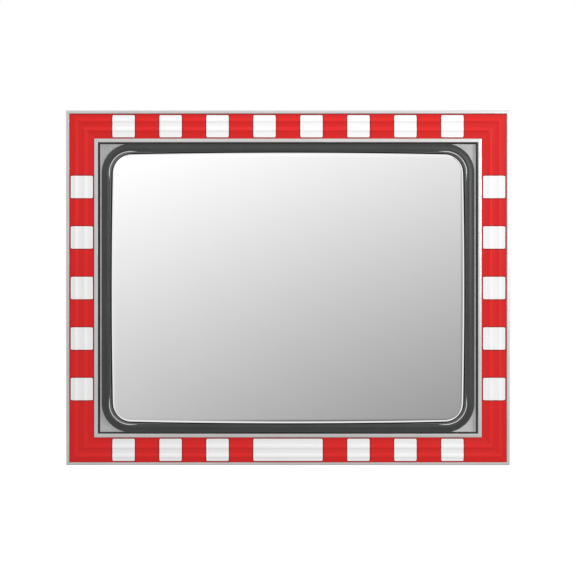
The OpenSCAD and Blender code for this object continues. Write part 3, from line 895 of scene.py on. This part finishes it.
def make_mirror():
    """Spherical front, a rolled edge, the skirt, the flange, and the hollow behind. The silvering stops on
    the rolled edge: the skirt and the back are black, as painted shade for the gap between the dome and the
    ring."""
    edge = [(x - nx * EDGE_ROLL, z - nz * EDGE_ROLL, nx, nz)
            for x, z, nx, nz in outline(EDGE_GROW, DOME_CORNER)]
    rings = []
    for t in [i / FACE_RINGS for i in range(1, FACE_RINGS + 1)]:
        rings.append([place(x * t, sphere_depth(x * t, z * t, MIRROR_RADIUS), z * t) for x, z, _, _ in edge])
    for a in ROLL_ANGLES:
        ring = []
        for cx, cz, nx, nz in edge:
            tilt = (cx * nx + cz * nz) / MIRROR_RADIUS
            sweep = tilt + (math.pi / 2 - tilt) * a / 90
            start = sphere_depth(cx, cz, MIRROR_RADIUS)
            out = EDGE_ROLL * (math.sin(sweep) - math.sin(tilt)) / (1 - math.sin(tilt))
            down = EDGE_ROLL * (math.cos(tilt) - math.cos(sweep))
            ring.append(place(cx + nx * out, start + down, cz + nz * out))
        rings.append(ring)
    top, soft = FLANGE_Y - PANE_T, FLANGE_SOFT
    for grow, depth in ((EDGE_GROW, top - soft), (EDGE_GROW + soft, top), (FLANGE_OUT - soft, top),
                        (FLANGE_OUT, top + soft), (FLANGE_OUT, FLANGE_Y), (-FIT - PANE_T, FLANGE_Y)):
        rings.append(ring_at(grow, depth))
    inner = outline(-FIT - PANE_T)
    for t in [i / BACK_RINGS for i in range(BACK_RINGS, 0, -1)]:
        rings.append([place(x * t, sphere_depth(x * t, z * t, MIRROR_RADIUS - PANE_T), z * t)
                      for x, z, _, _ in inner])
    shape = loft(rings, cap_start=place(0, -MIRROR_PROUD, 0), cap_end=place(0, -MIRROR_PROUD + PANE_T, 0))
    # 0 where silvered, 1 where black as painted shade.
    painted = [0.0 if k < SILVERED_RINGS else 1.0 for k in range(len(rings)) for _ in edge] + [0.0, 1.0]
    return stand_in("mirror_pane", "dome", shape, MIRROR, sharp=50, relief=painted)


LIP_R = 1.6
# The band of the lip that takes a painted highlight in the corners, its fade along the straights, and where
# the wall's near-black painted shade ends.
LIP_HIGHLIGHT = (LIP_GAP + 0.4, LIP_GAP + 1.9)
HIGHLIGHT_FADE = 18
WALL_SHADE_END = LIP_GAP + 0.3
LIP_DEPTH = 7.0
CROWN_START = LIP_GAP + 2.6
CROWN_STEPS = 18
CROWN_DEPTH = 3.8
GROOVE, GROOVE_W = 1.6, 1.4
FOOT_R, FOOT_DEPTH = 2.2, 10.9


def gasket_section():
    """(outward from the mirror, depth): wall, bead on the inner lip, low crown, outer foot."""
    low = FLANGE_Y - PANE_T - FIT
    section = [(LIP_GAP, low), (LIP_GAP, LIP_DEPTH + LIP_R)]
    section += arc(LIP_GAP + LIP_R, LIP_DEPTH, LIP_R, 180, 290, 10)
    for i in range(1, CROWN_STEPS + 1):
        t = i / CROWN_STEPS
        v = CROWN_START + t * (GASKET_W - CROWN_START - 1.2)
        groove = GROOVE * math.exp(-((v - CROWN_START) / GROOVE_W) ** 2)
        section.append((v, CROWN_DEPTH + groove + 4.8 * t ** 3.2 + 0.6 * (1 - t) ** 2))
    section += arc(GASKET_W - FOOT_R, FOOT_DEPTH, FOOT_R, -45, 0, 4)
    section += [(GASKET_W, PAN_Y), (TRAY_GAP - FIT, PAN_Y), (TRAY_GAP - FIT, low)]
    return section


def make_gasket():
    """The rubber ring. Its lip is pale in the corners as a painted highlight, and its wall in the gap is
    near black as painted shade.
    """
    section = gasket_section()
    shares = corner_share(HIGHLIGHT_FADE)
    painted_light = []
    for v, d in section:
        # Painted highlight on the lip in the corners; painted shade on the wall in the gap.
        if LIP_HIGHLIGHT[0] < v < LIP_HIGHLIGHT[1] and d < LIP_DEPTH:
            painted_light += shares
        else:
            painted_light += [-1.0 if v < WALL_SHADE_END else 0.0] * len(shares)
    shape = loft([ring_at(v, d) for v, d in section], close_rings=True)
    unmirrored(stand_in("edge_gasket", "ring", shape, RUBBER, sharp=40, relief=painted_light))


# Size of the black beads that stand in for shade.
SHADE_BEAD_W = 1.9
SHADE_BEAD_H = 1.5


def bead_section(start):
    """Section of a black bead on the pan's flange, running outward from start; the bead stands in for shade.
    """
    profile = ((0, 0), (0, 1), (0.4, 0.8), (0.75, 0.4), (1, 0.02))
    return [(start + a * SHADE_BEAD_W, PAN_Y - HAIR - b * SHADE_BEAD_H) for a, b in profile]


def opening_ring(inset, depth):
    """The square opening inside the rails, inset all round."""
    x, z = FRAME_W / 2 - FACE - inset, FRAME_H / 2 - FACE - inset
    return [place(sx * x, depth, sz * z) for sx, sz in QUADRANTS]


def make_shade_beads():
    """Black beads at the foot of the rubber ring and along the rails' inner wall, which stand in for the
    shade there.
    """
    foot = loft([ring_at(v, d) for v, d in bead_section(GASKET_W - 0.2)], close_rings=True)
    wall = loft([opening_ring(v, d) for v, d in bead_section(0.05)], close_rings=True)
    unmirrored(build("shade_beads", joined([foot, wall]), SHADE_BEAD_BLACK, sharp=60))


PAN_SHEET = 1.5
PAN_EDGE = RAIL_WALL + 0.5
PAN_BEND = 2.5
FLOOR_START = -60
PRESSED_AT, PRESSED_HALF, PRESSED_RISE = -46, 9, 1.8


def flange_ring(depth):
    """The pan flange's square outline, point for point with outline()."""
    hx, hz = FRAME_W / 2 - PAN_EDGE, FRAME_H / 2 - PAN_EDGE
    ring = []
    for x, z, nx, nz in outline():
        on_x, on_z = math.copysign(hx, nx), math.copysign(hz, nz)
        if abs(nx) > STRAIGHT:
            on_z = z
        elif abs(nz) > STRAIGHT:
            on_x = x
        elif abs(nx) >= abs(nz):
            on_z = math.copysign(CORNER_Z + (hz - CORNER_Z) * abs(nz) / abs(nx), nz)
        else:
            on_x = math.copysign(CORNER_X + (hx - CORNER_X) * abs(nx) / abs(nz), nx)
        ring.append(place(on_x, depth, on_z))
    return ring


def tray_floor(depth):
    """Section of the tray's floor from the middle outwards, with its pressed bead."""
    points = [(FLOOR_START, depth)]
    for k in range(-4, 5):
        rise = PRESSED_RISE * math.cos(k * math.pi / 8) ** 2
        points.append((PRESSED_AT + PRESSED_HALF * k / 4, depth + rise))
    return points


def make_pan():
    """One pressed sheet: flange, rounded bend, tray wall, floor with a pressed bead."""
    t, bend, wide = PAN_SHEET, PAN_BEND, PAN_BEND + PAN_SHEET
    floor_y = TRAY_BACK - t
    inside = tray_floor(floor_y) + [(TRAY_GAP - bend, floor_y)]
    inside += arc(TRAY_GAP - bend, floor_y - bend, bend, 60, 0, 2) + [(TRAY_GAP, PAN_Y + bend)]
    inside += arc(TRAY_GAP + bend, PAN_Y + bend, bend, 210, 270, 2)
    outside = [(TRAY_GAP + bend, PAN_Y + t)] + arc(TRAY_GAP + bend, PAN_Y + bend, bend - t, 240, 180, 2)
    outside.append((TRAY_GAP + t, TRAY_BACK - wide))
    outside += arc(TRAY_GAP + t - wide, TRAY_BACK - wide, wide, 30, 90, 2)
    outside += tray_floor(TRAY_BACK)[::-1]
    rings = [ring_at(v, d) for v, d in inside]
    rings += [flange_ring(PAN_Y), flange_ring(PAN_Y + t)]
    rings += [ring_at(v, d) for v, d in outside]
    shape = loft(rings, cap_start=place(0, floor_y, 0), cap_end=place(0, TRAY_BACK, 0))
    unmirrored(stand_in("rear_pan", "pressing", shape, SHEET_STEEL, sharp=28))


DOME = make_mirror()
make_gasket()
make_shade_beads()
make_pan()

# ---- screws, stiffeners, tilt bracket and pivot ----

SCREW_ROW_X = (-400, -240, -80, 80, 240, 400)
SCREW_ROW_Z = (-255, -85, 85, 255)
SCREW_INSET = 50
STIFF_X = (-285, -190, -95, 95, 190, 285)
STIFF_Z = 110
HAT_H, HAT_T, HAT_CROWN, HAT_FOOT = 20, 2, 34, 18
HAT_HALF_LEN = 320
HAT_BACK = TRAY_BACK + HAT_H
BRACKET_T = 5
BRACKET_BACK = HAT_BACK + BRACKET_T
BRACKET_BOLTS = [(x, z) for x in (-40, 40) for z in (-STIFF_Z, STIFF_Z)]
TILT_D = 120
TILT_R = 6
EAR_X, EAR_T, EAR_R = 19, 8, 24
TILT_OUT = EAR_X + EAR_T
BASE_PLATE = (120, 270, 10)
BRACKET_HOLE_R = 5.25
M10_FLATS, M10_HEAD, M10_NUT, M10_PITCH = 17, 6.4, 8.4, 1.5
M10_WASHER = (5.3, 10)
WASHER_T = 2
M12_FLATS, M12_HEAD, M12_PITCH = 18, 7.5, 1.75
M12_WASHER = (6.3, 12)
M12_WASHER_T = 2.5
COLLAR_T = 3
TONGUE_X = 17
PAD_PLAY = 0.05
PAD = (6.2, 19)
DRAIN_X = 300
DRAIN_UP = 20


def facing_back(x, d, z):
    """Axes at a point of the head's frame, with w running backwards."""
    return axes(place(x, d, z), (0, 1, 0))


def make_screws():
    """The screws through the pan's flange, and those through the stiffeners and the tray."""
    places = [(x, s * (FRAME_H / 2 - SCREW_INSET)) for x in SCREW_ROW_X for s in (-1, 1)]
    places += [(s * (FRAME_W / 2 - SCREW_INSET), z) for z in SCREW_ROW_Z for s in (-1, 1)]
    seat = PAN_Y + PAN_SHEET
    screws = joined([pan_head_screw(facing_back(x, seat, z), 12.5) for x, z in places])
    unmirrored(stand_in("frame_screws", "set", screws, ZINC))
    off = (HAT_CROWN + HAT_FOOT) / 2
    places = [(x, s * STIFF_Z + t * off) for x in STIFF_X for s in (-1, 1) for t in (-1, 1)]
    seat = TRAY_BACK + HAT_T
    screws = joined([pan_head_screw(facing_back(x, seat, z), 5.7) for x, z in places])
    stand_in("stiffener_screws", "set", screws, ZINC)


def make_stiffener(node, side):
    """A top-hat channel with bent corners, from (height across, depth) points."""
    a, b = HAT_CROWN / 2, HAT_CROWN / 2 + HAT_FOOT
    o = a + HAT_T
    points = [(-b, 0), (-a, 0), (-a, HAT_H - HAT_T), (a, HAT_H - HAT_T), (a, 0), (b, 0), (b, HAT_T),
              (o, HAT_T), (o, HAT_H), (-o, HAT_H), (-o, HAT_T), (-b, HAT_T)]
    radii = [0.3, 3.4, 1.4, 1.4, 3.4, 0.3, 0.3, 1.4, 3.4, 3.4, 1.4, 0.3]
    section = rounded(points, radii)
    rings = [[place(x, TRAY_BACK + d, side * STIFF_Z + h) for h, d in section]
             for x in (-HAT_HALF_LEN, HAT_HALF_LEN)]
    stand_in(node, "channel", loft(rings, cap_start="flat", cap_end="flat"), SHEET_STEEL)


def box_loop(w, h, r):
    return rounded([(-w / 2, -h / 2), (w / 2, -h / 2), (w / 2, h / 2), (-w / 2, h / 2)], [r] * 4, steps=8)


def make_tilt_bracket():
    """Base plate and two ears, welded where they meet."""
    holes = [hole_loop(x, z, BRACKET_HOLE_R) for x, z in BRACKET_BOLTS]

    def on_base(a, b, w):
        return place(a, w, b)

    parts = [plate(on_base, [box_loop(*BASE_PLATE)] + holes, HAT_BACK, BRACKET_BACK)]
    arc_end = arc(TILT_D, 0, EAR_R, -90, 90, 20)
    outline_loop = [(BRACKET_BACK, -EAR_R)] + arc_end + [(BRACKET_BACK, EAR_R)]
    for s in (-1, 1):

        def on_ear(d, z, w):
            return place(s * w, d, z)

        parts.append(plate(on_ear, [outline_loop, hole_loop(TILT_D, 0, TILT_R + 0.05)], EAR_X, TILT_OUT))
    stand_in("tilt_bracket", "weldment", joined(parts), DIPPED_STEEL)
    beads = []
    for s in (-1, 1):
        x, d = s * (TILT_OUT + 0.6), BRACKET_BACK + 0.6
        beads.append(weld_bead(along_line(place(x, d, -EAR_R), place(x, d, EAR_R)), 2.6, (1, 0, 0)))
    build("tilt_bracket_welds", joined(beads), WELD)


def make_m10_set(prefix, seats, grip, length, washer_lows, body="mirror_head"):
    """Alike bolts, each with its washers and a nut against the last of them."""
    low = washer_lows[-1] + WASHER_T
    shapes = {
        "bolts": [bolt(seat, 5, M10_PITCH, M10_FLATS, M10_HEAD, grip, length) for seat in seats],
        "washers": [washer(seat, *M10_WASHER, w, w + WASHER_T) for seat in seats for w in washer_lows],
        "nuts": [hexagon(seat, M10_FLATS, low, low + M10_NUT, bore=5.02) for seat in seats],
    }
    for name, parts in shapes.items():
        stand_in(f"{prefix}_{name}", "set", joined(parts), ZINC, body=body)


def make_bracket_fasteners():
    back = BRACKET_T + HAT_T
    seats = [facing_back(x, HAT_BACK - HAT_T, z) for x, z in BRACKET_BOLTS]
    make_m10_set("bracket", seats, back, back + 16, [back])


def make_tilt_pivot():
    """The bolt enters from +X; w runs towards -X from the washer's outer face."""
    far = TILT_OUT + M12_WASHER_T
    end = 2 * far
    seat = axes(place(far, TILT_D, 0), (-1, 0, 0))
    pivot = bolt(seat, TILT_R, M12_PITCH, M12_FLATS, M12_HEAD, end, end + 14)
    stand_in("tilt_bolt", "m12", pivot, ZINC)
    rings = [washer(seat, *M12_WASHER, 0, M12_WASHER_T), washer(seat, *M12_WASHER, end - M12_WASHER_T, end)]
    stand_in("tilt_washers", "pair", joined(rings), ZINC)
    low = end + M12_HEAD
    high = low + COLLAR_T
    nut = hexagon(seat, M12_FLATS, end, low, bore=6.02)
    profile = [(6.05, low), (8.2, low), (8.2, high - 0.8), (7.4, high), (6.4, high), (6.05, high - 0.3)]
    stand_in("tilt_nut", "locking", joined([nut, lathe(seat, profile, closed=True)]), ZINC)
    outer, inner = EAR_X - PAD_PLAY, TONGUE_X + PAD_PLAY
    pads = [washer(seat, *PAD, far - outer, far - inner), washer(seat, *PAD, far + inner, far + outer)]
    stand_in("friction_washers", "pair", joined(pads), NYLON)


def make_drain_grommets():
    """Rubber grommets in the pan's two drain holes."""
    profile = [(0, 0.2), (2.6, 0.2), (3.0, 1.3), (5.2, 1.5), (6.2, 0.9), (6.4, 0.02), (0, 0.02)]
    z = DRAIN_UP - MIRROR_H / 2
    rings = [lathe(facing_back(x, TRAY_BACK, z), profile) for x in (-DRAIN_X, DRAIN_X)]
    build("drain_grommets", joined(rings), RUBBER)


make_screws()
make_stiffener("stiffener_upper", 1)
make_stiffener("stiffener_lower", -1)
make_tilt_bracket()
make_bracket_fasteners()
make_tilt_pivot()
make_drain_grommets()

# ---- post clamp, post and wall arm ----

post_lo, post_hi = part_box("post_tube")
POST = Vector(((post_lo.x + post_hi.x) / 2, (post_lo.y + post_hi.y) / 2, 0))
POST_R = (post_hi.x - post_lo.x) / 2 / MM
TUBE_T = 3
ARM_R = 24
PLATE_T = 8
WALL_PLATE = (200, 260, 12)
WALL_HOLE_X, WALL_HOLE_Z, WALL_HOLE_R = 75, 105, 5.5
GUSSET_RISE, GUSSET_RUN, GUSSET_T = 100, 110, 6
WELD_R = 2.4
RING_WELD_R = 3.0
CLAMP_FACE = 11
CLAMP_BOLTS = [(x, z) for x in (-52, 52) for z in (-28, 28)]


def make_clamp_fasteners():
    out = CLAMP_FACE + WASHER_T
    seats = [axes(POST + Vector((x * MM, -out * MM, head_z + z * MM)), (0, 1, 0)) for x, z in CLAMP_BOLTS]
    make_m10_set("clamp", seats, 2 * out, 2 * out + 12, [0, 2 * out - WASHER_T], body="swivel_clamp")


def arm_part(node, suffix, shape, material=DIPPED_STEEL):
    stand_in(node, suffix, shape, material, body="wall_arm")


def make_post():
    low, high = post_lo.z / MM, post_hi.z / MM
    r_in = POST_R - TUBE_T
    axis = axes(POST, (0, 0, 1), (0, 1, 0))
    profile = [(r_in, low), (POST_R - 0.6, low), (POST_R, low + 0.6), (POST_R, high - 0.6),
               (POST_R - 0.6, high), (r_in, high)]
    arm_part("post_tube", "turned", lathe(axis, profile, steps=64, closed=True))
    cap = [(0, -18), (r_in - 0.9, -18), (r_in - 0.1, -16), (r_in - 0.1, 0), (POST_R, 0), (POST_R, 2),
           (POST_R - 0.8, 3.4), (POST_R - 3, 4.6), (POST_R - 6, 5), (5, 5), (4, 4.4), (0, 4.4)]
    for node, end, way in (("post_cap_top", high, 1), ("post_cap_bottom", low, -1)):
        seat = axes(POST + Vector((0, 0, end * MM)), (0, 0, way), (0, 1, 0))
        arm_part(node, "moulded", lathe(seat, cap, steps=64), CAP)


def saddle(r, lift=0.0, steps=96):
    """Where a tube of radius r along Y meets the post."""
    points = []
    for x, z in (polar(r, t) for t in turns(steps)):
        y = math.sqrt((POST_R + lift) ** 2 - x * x)
        points.append(POST + Vector((x, y, z)) * MM)
    return points


def wall_circle(r, lift=0.0, steps=96):
    """Where a tube of radius r along Y meets the wall plate."""
    return [Vector((x, -PLATE_T - lift, z)) * MM for x, z in (polar(r, t) for t in turns(steps))]


def make_arm():
    r_in = ARM_R - TUBE_T
    rings = [wall_circle(r_in), wall_circle(ARM_R), saddle(ARM_R), saddle(r_in)]
    arm_part("arm_tube", "coped", loft(rings, close_rings=True))
    holes = [hole_loop(sx * WALL_HOLE_X, sz * WALL_HOLE_Z, WALL_HOLE_R) for sx in (-1, 1) for sz in (-1, 1)]

    def on_wall(a, b, w):
        return Vector((a, -w, b)) * MM

    arm_part("wall_plate", "drilled", plate(on_wall, [box_loop(*WALL_PLATE)] + holes, 0, PLATE_T, soft=0.8))


def make_gussets():
    """A web above and below the arm, with fillet welds, and a weld round each end of the arm."""
    rise, tip, foot = GUSSET_RISE, -PLATE_T - GUSSET_RUN, ARM_R + HAIR
    webs, beads = [], []
    for s in (-1, 1):
        loop = [(-PLATE_T, s * foot), (tip, s * foot), (tip, s * (ARM_R + 10)), (-PLATE_T - 14, s * rise),
                (-PLATE_T, s * rise)][::-s]

        def on_web(a, b, w):
            return Vector((w, a, b)) * MM

        webs.append(plate(on_web, [loop], -GUSSET_T / 2, GUSSET_T / 2))
        for x in (-3.4, 3.4):
            near = Vector((x, -PLATE_T - 1, s * (ARM_R + 0.6))) * MM
            for end in ((x, tip, s * (ARM_R + 0.6)), (x, -PLATE_T - 1, s * rise)):
                beads.append(weld_bead(along_line(near, Vector(end) * MM), WELD_R, (1, 0, 0)))
    arm_part("arm_gussets", "pair", joined(webs))
    for path in (saddle(ARM_R + 0.8, 0.8, 140), wall_circle(ARM_R + 0.8, 0.8, 140)):
        beads.append(weld_bead(path, RING_WELD_R, (0, 1, 0), closed=True))
    build("arm_welds", joined(beads), WELD, body="wall_arm")


make_clamp_fasteners()
make_post()
make_arm()
make_gussets()

# ---- CAD nodes that keep their own shape ----

# Each with its material and the width of its softened edges.
KEEP = {
    "corner_keys": (CASTING, 0.6),
    "bond_tape": (TAPE, 0),
    "backing_board": (BOARD, 0),
    "clamp_front": (DIPPED_STEEL, 1.0),
    "clamp_rear": (DIPPED_STEEL, 1.0),
}


def modify(node, name, kind, **settings):
    modifier = node.modifiers.new(name, kind)
    for key, value in settings.items():
        setattr(modifier, key, value)


def keep_node(name, material, edge):
    """Puts a material on a CAD node and softens its edges, once its flat faces are whole again."""
    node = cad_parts[name]
    node.data.materials.clear()
    node.data.materials.append(material)
    unmirrored(node)
    fill_slot(material)
    if edge:
        modify(node, "weld", "WELD", merge_threshold=0.00002)
        modify(node, "flatten", "DECIMATE", decimate_type="DISSOLVE", angle_limit=math.radians(0.4))
        modify(node, "bevel", "BEVEL", width=edge * MM, segments=3, limit_method="ANGLE",
               angle_limit=math.radians(35), harden_normals=True)


for node_name, settings in KEEP.items():
    keep_node(node_name, *settings)

# ---- stage, light and camera ----

FLOOR_DROP = 0.42
FLOOR_HALF = 14.0


def make_floor():
    mesh = bpy.data.meshes.new("floor")
    z = cad_box[0].z - FLOOR_DROP
    corners = [(sx * FLOOR_HALF, sy * FLOOR_HALF, z) for sx, sy in ((-1, -1), (1, -1), (1, 1), (-1, 1))]
    mesh.from_pydata(corners, [], [(0, 1, 2, 3)])
    floor = new_object("floor", mesh)
    m, g, where = new_material("floor_pale")
    g.set("Base Color", g.mix(g.noise(where, 3, 3), grey(0.86), grey(0.88)))
    g.set("Roughness", 0.7)
    g.set("Emission Color", rgb(1, 1, 1))
    g.set("Emission Strength", 0.6)
    mesh.materials.append(m)
    floor.visible_glossy = False
    floor.visible_diffuse = False


def make_world():
    """White to the camera; to the mirror a soft studio that falls from white, up and to the left,
    to grey, down and to the right, with a pale floor and side wall further out, and dimmer behind."""
    world = bpy.data.worlds.new("studio")
    bpy.context.scene.world = world
    world.use_nodes = True
    g = Graph(world.node_tree)
    out = world.node_tree.nodes["World Output"]
    shade = world.node_tree.nodes["Background"]
    x, y, z = g.node("SeparateXYZ", {0: g.node("TexCoord")["Generated"]})
    level = g.mad(x, -0.145, 0.822)
    level = g.mad(z, 0.36, level)
    level = g.mad(g.mul(x, z), 0.06, level)
    level = g.top(level, 0.52)
    floor_edge = g.mul(g.spread(z, -0.41, -0.45, 0, 1), g.spread(x, -0.3, 0.0, 0, 1))
    edge = g.top(floor_edge, g.spread(x, 0.52, 0.56, 0, 1))
    level = g.mul(level, g.mad(edge, -0.35, 1.0))
    beyond = g.spread(z, -0.46, -0.58, 0, 1)
    for value, low, high in ((x, 0.60, 0.66), (z, 0.5, 0.8), (x, -0.50, -1.0)):
        beyond = g.top(beyond, g.spread(value, low, high, 0, 1))
    level = g.mul(level, g.math("SUBTRACT", 1.0, beyond))
    level = g.mad(beyond, 0.93, level)
    level = g.mul(level, g.spread(y, 0.1, 0.6, 1.0, 0.72))
    level = g.math("MINIMUM", level, 1.02)
    linear = g.math("POWER", g.mad(level, 0.948, 0.052), 2.4)
    path = g.node("LightPath")
    strength = g.mul(linear, g.mad(path["Is Glossy Ray"], 0.14, 0.92))
    unseen = g.math("SUBTRACT", 1.0, path["Is Camera Ray"])
    strength = g.mad(unseen, strength, path["Is Camera Ray"])
    g.link(strength, shade.inputs["Strength"])
    shade.inputs["Color"].default_value = rgb(1, 1, 1)
    g.link(shade.outputs[0], out.inputs["Surface"])


def area_light(name, where, target, size, watts, glossy=False):
    light = bpy.data.lights.new(name, "AREA")
    light.size = size
    light.energy = watts
    lamp = new_object(name, light)
    lamp.location = where
    lamp.rotation_mode = "QUATERNION"
    lamp.rotation_quaternion = (Vector(target) - Vector(where)).to_track_quat("-Z", "Y")
    lamp.visible_glossy = glossy
    return lamp


def leave_out(lamp, *pieces):
    """The lamp doesn't light these pieces."""
    group = bpy.data.collections.new(lamp.name + "_left_out")
    for piece in pieces:
        group.objects.link(piece)
    lamp.light_linking.receiver_collection = group
    for entry in group.collection_objects:
        entry.light_linking.link_state = "EXCLUDE"


middle = Vector((0, front_y, head_z))
make_floor()
make_world()
key = area_light("key", middle + Vector((1.4, -1.9, 0.5)), middle, 0.5, 15, glossy=True)
leave_out(key, DOME)
area_light("overhead", middle + Vector((0, -0.8, 1.25)), middle, 0.8, 5.5)
area_light("back_fill", Vector((-1.7, 1.5, head_z + 1.5)), middle, 0.7, 75)

CAMERA_DISTANCE = 2.45
HALF_VIEW = 0.6487
camera_data = bpy.data.cameras.new("camera")
camera_data.sensor_width = 36
camera_data.lens = camera_data.sensor_width / 2 * CAMERA_DISTANCE / HALF_VIEW
camera = new_object("camera", camera_data)
camera.location = middle + Vector((0, -CAMERA_DISTANCE, 0))
camera.rotation_euler = (math.radians(90), 0, 0)
bpy.context.scene.camera = camera
bpy.context.scene.view_settings.view_transform = "Standard"
